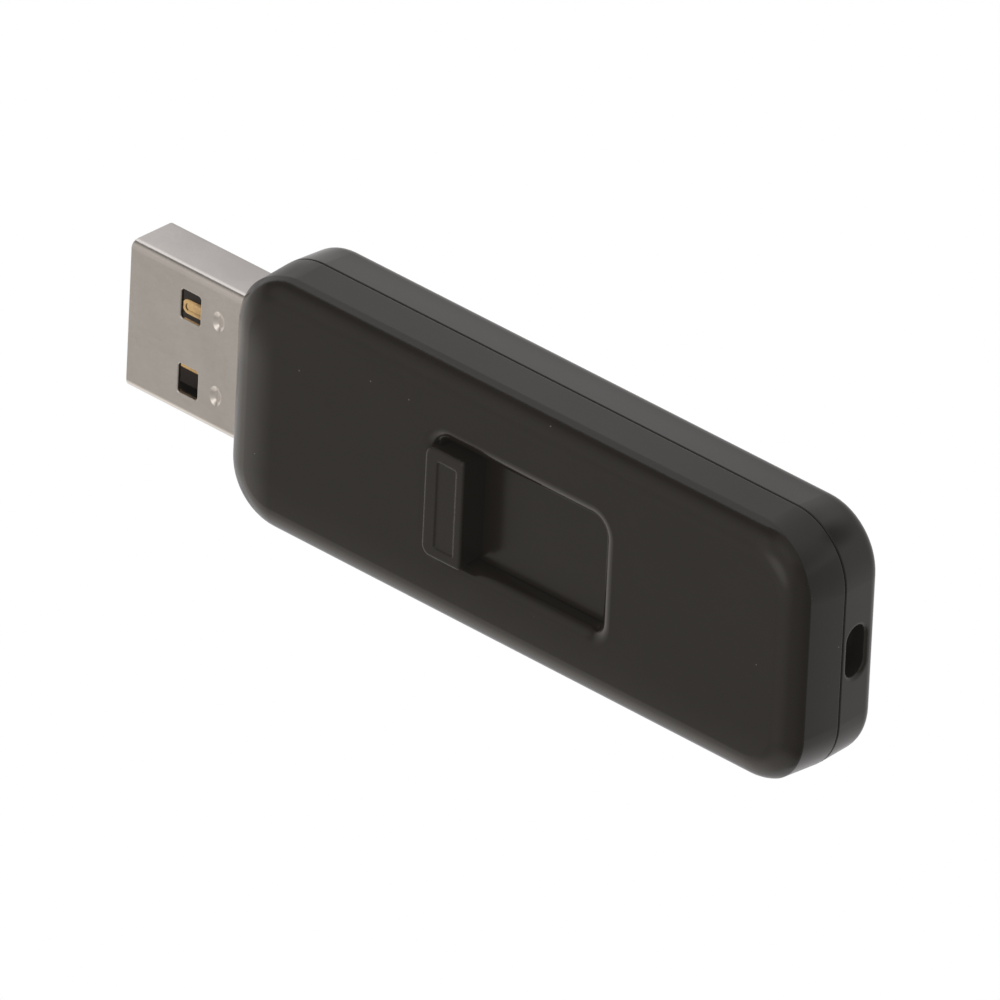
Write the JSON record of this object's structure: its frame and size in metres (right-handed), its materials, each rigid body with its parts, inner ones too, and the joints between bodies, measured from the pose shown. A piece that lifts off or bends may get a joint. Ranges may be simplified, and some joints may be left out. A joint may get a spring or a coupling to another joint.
{
  "type": "logic analyzer",
  "caption": "Stick-shaped USB logic analyzer: a dark two-half case with a thumb slider that pushes out or pulls back a flat metal plug and its circuit board.",
  "frame": {"origin": "centre of the flat back face the case rests on, under the middle of the case outline", "axes": "+X along the case from the plug end to the lanyard end (the plug points to -X), +Y across the case, +Z out of the slider face"},
  "size_m": [0.0684, 0.0208, 0.0092],
  "materials": {
    "case_front": "fine semi-gloss moulded finish",
    "case_rear": "fine semi-gloss moulded finish",
    "carriage_plastic": "semi-gloss moulded finish",
    "button_plastic": "fine semi-gloss moulded finish",
    "spring_steel": "bright",
    "plug_metal": "nickel plated, satin",
    "insulator_plastic": "dark moulded",
    "contact_gold": "gold plated",
    "board": "solder mask",
    "chip_body": "moulded epoxy",
    "crystal_metal": "satin lid",
    "ferrite": "sintered ferrite",
    "tantalum_body": "moulded",
    "capacitor_body": "ceramic",
    "resistor_body": "glazed",
    "solder": "smooth"
  },
  "bodies": {
    "case": {"front_shell": "case_front", "rear_shell": "case_rear"},
    "carriage": {"slider_carriage": "carriage_plastic", "carriage_base": "carriage_plastic", "thumb_button": "button_plastic", "detent_spring": "spring_steel", "usb_shell": "plug_metal", "usb_insulator": "insulator_plastic", "contact_vbus": "contact_gold", "contact_data_minus": "contact_gold", "contact_data_plus": "contact_gold", "contact_ground": "contact_gold", "pcb": "board", "usb_controller": "chip_body", "sampling_chip": "chip_body", "memory_chip": "chip_body", "regulator": "chip_body", "esd_array": "chip_body", "crystal": "crystal_metal", "inductor": "ferrite", "tantalum_capacitor": "tantalum_body", "capacitor_1": "capacitor_body", "capacitor_2": "capacitor_body", "capacitor_3": "capacitor_body", "capacitor_4": "capacitor_body", "capacitor_5": "capacitor_body", "capacitor_6": "capacitor_body", "resistor_1": "resistor_body", "pin_solder_1": "solder", "resistor_2": "resistor_body", "pin_solder_2": "solder", "resistor_3": "resistor_body", "pin_solder_3": "solder", "resistor_4": "resistor_body", "pin_solder_4": "solder", "tab_solder_left": "solder", "tab_solder_right": "solder"}
  },
  "joints": [
    {"name": "carriage_slide", "type": "slide", "parent": "case", "child": "carriage", "axis": [1, 0, 0], "range_m": [0, 0.0122]}
  ]
}
